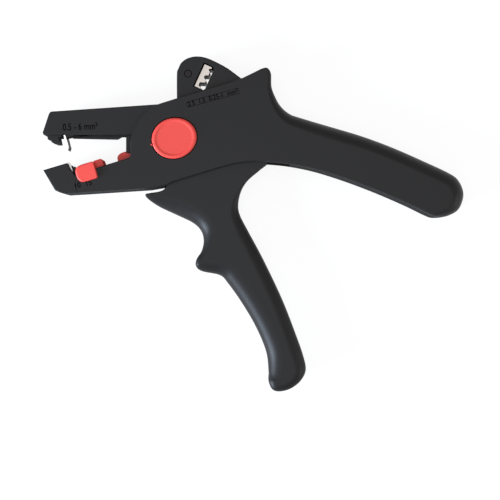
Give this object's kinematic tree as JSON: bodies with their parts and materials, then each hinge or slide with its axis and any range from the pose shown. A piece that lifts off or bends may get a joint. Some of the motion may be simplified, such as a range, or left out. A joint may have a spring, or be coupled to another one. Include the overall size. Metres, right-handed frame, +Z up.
{
  "type": "automatic wire stripper",
  "caption": "Hand tool that grips a wire, cuts its insulation and pulls it off as the lever is squeezed, with a length stop and a small crimping die.",
  "frame": {"origin": "on the main pivot axis, in the plane of the flat rear side on which the tool lies", "axes": "+X along the tool towards the ends of the handles, +Y towards the crimping ear, +Z up from the resting plane along the pivot axis"},
  "size_m": [0.1993, 0.1583, 0.0216],
  "materials": {
    "front_shell": "moulded, fine grain",
    "rear_shell": "moulded, fine grain",
    "front_cap": "moulded, satin",
    "rear_cap": "moulded, satin",
    "main_pivot_pin": "plain ground steel",
    "pivot_clip": "plain ground steel",
    "pivot_bush": "plain ground steel",
    "return_spring": "plain ground steel",
    "housing_screws": "plain ground steel",
    "lower_jaw_tip": "moulded, fine grain",
    "jaw_tip_pin": "plain ground steel",
    "lower_blade_carrier": "moulded, satin",
    "lower_blade_holder": "moulded, fine grain",
    "lower_blade": "ground",
    "lower_blade_rivets": "plain ground steel",
    "carrier_link_pin": "plain ground steel",
    "length_stop": "moulded, satin",
    "stop_spring": "plain ground steel",
    "upper_jaw": "moulded, fine grain",
    "upper_clamp_pad": "moulded, fine grain",
    "clamp_pad_pin": "plain ground steel",
    "jaw_guide_pins": "plain ground steel",
    "tail_pin": "plain ground steel",
    "upper_blade_carrier": "moulded, fine grain",
    "upper_blade": "ground",
    "upper_blade_rivets": "plain ground steel",
    "lever": "moulded, fine grain",
    "drive_pin": "plain ground steel",
    "closing_pin": "plain ground steel",
    "jaw_spring": "plain ground steel",
    "crimp_arm": "plain ground steel",
    "crimp_arm_rivets": "plain ground steel",
    "moving_crimp_die": "ground",
    "moving_die_rivets": "plain ground steel",
    "crimp_frame": "moulded, fine grain",
    "crimp_frame_pin": "plain ground steel",
    "fixed_crimp_die": "ground"
  },
  "bodies": {
    "housing": {"front_shell": "front_shell", "rear_shell": "rear_shell", "front_cap": "front_cap", "rear_cap": "rear_cap", "main_pivot_pin": "main_pivot_pin", "pivot_clip": "pivot_clip", "pivot_bush": "pivot_bush", "housing_screws": "housing_screws", "lower_jaw_tip": "lower_jaw_tip", "jaw_tip_pin": "jaw_tip_pin", "crimp_frame": "crimp_frame", "crimp_frame_pin": "crimp_frame_pin", "fixed_crimp_die": "fixed_crimp_die", "return_spring": "return_spring", "jaw_spring": "jaw_spring"},
    "lever": {"lever": "lever", "drive_pin": "drive_pin", "closing_pin": "closing_pin", "crimp_arm": "crimp_arm", "crimp_arm_rivets": "crimp_arm_rivets", "moving_crimp_die": "moving_crimp_die", "moving_die_rivets": "moving_die_rivets"},
    "upper_jaw": {"upper_jaw": "upper_jaw", "upper_clamp_pad": "upper_clamp_pad", "clamp_pad_pin": "clamp_pad_pin", "jaw_guide_pins": "jaw_guide_pins", "tail_pin": "tail_pin"},
    "upper_carrier": {"upper_blade_carrier": "upper_blade_carrier", "upper_blade": "upper_blade", "upper_blade_rivets": "upper_blade_rivets"},
    "lower_carrier": {"lower_blade_carrier": "lower_blade_carrier", "lower_blade_holder": "lower_blade_holder", "lower_blade": "lower_blade", "lower_blade_rivets": "lower_blade_rivets", "carrier_link_pin": "carrier_link_pin"},
    "length_stop": {"length_stop": "length_stop", "stop_spring": "stop_spring"}
  },
  "joints": [
    {"name": "lever_hinge", "type": "hinge", "parent": "housing", "child": "lever", "pos_m": [0, 0, 0.01], "axis": [0, 0, 1], "range_deg": [0, 32], "stiffness_Nm_per_rad": 0.3, "springref_deg": -28.65, "deforming": ["return_spring", "jaw_spring"]},
    {"name": "upper_jaw_hinge", "type": "hinge", "parent": "housing", "child": "upper_jaw", "pos_m": [0, 0, 0.01], "axis": [0, 0, 1], "range_deg": [0, 10.5]},
    {"name": "lower_carrier_slide", "type": "slide", "parent": "housing", "child": "lower_carrier", "axis": [0.9553, 0.2957, 0], "range_m": [0, 0.008]},
    {"name": "upper_carrier_slide", "type": "slide", "parent": "upper_jaw", "child": "upper_carrier", "axis": [0.9932, 0.1167, 0], "range_m": [0, 0.008]},
    {"name": "length_stop_slide", "type": "slide", "parent": "lower_carrier", "child": "length_stop", "axis": [0.9553, 0.2957, 0], "range_m": [-0.003, 0.003]}
  ],
  "couplings": [
    {"joint": "upper_jaw_hinge", "follows": "lever_hinge", "ratio": 0.32812},
    {"joint": "lower_carrier_slide", "follows": "lever_hinge", "m_per_rad": 0.014312},
    {"joint": "upper_carrier_slide", "follows": "lever_hinge", "m_per_rad": 0.014312}
  ]
}
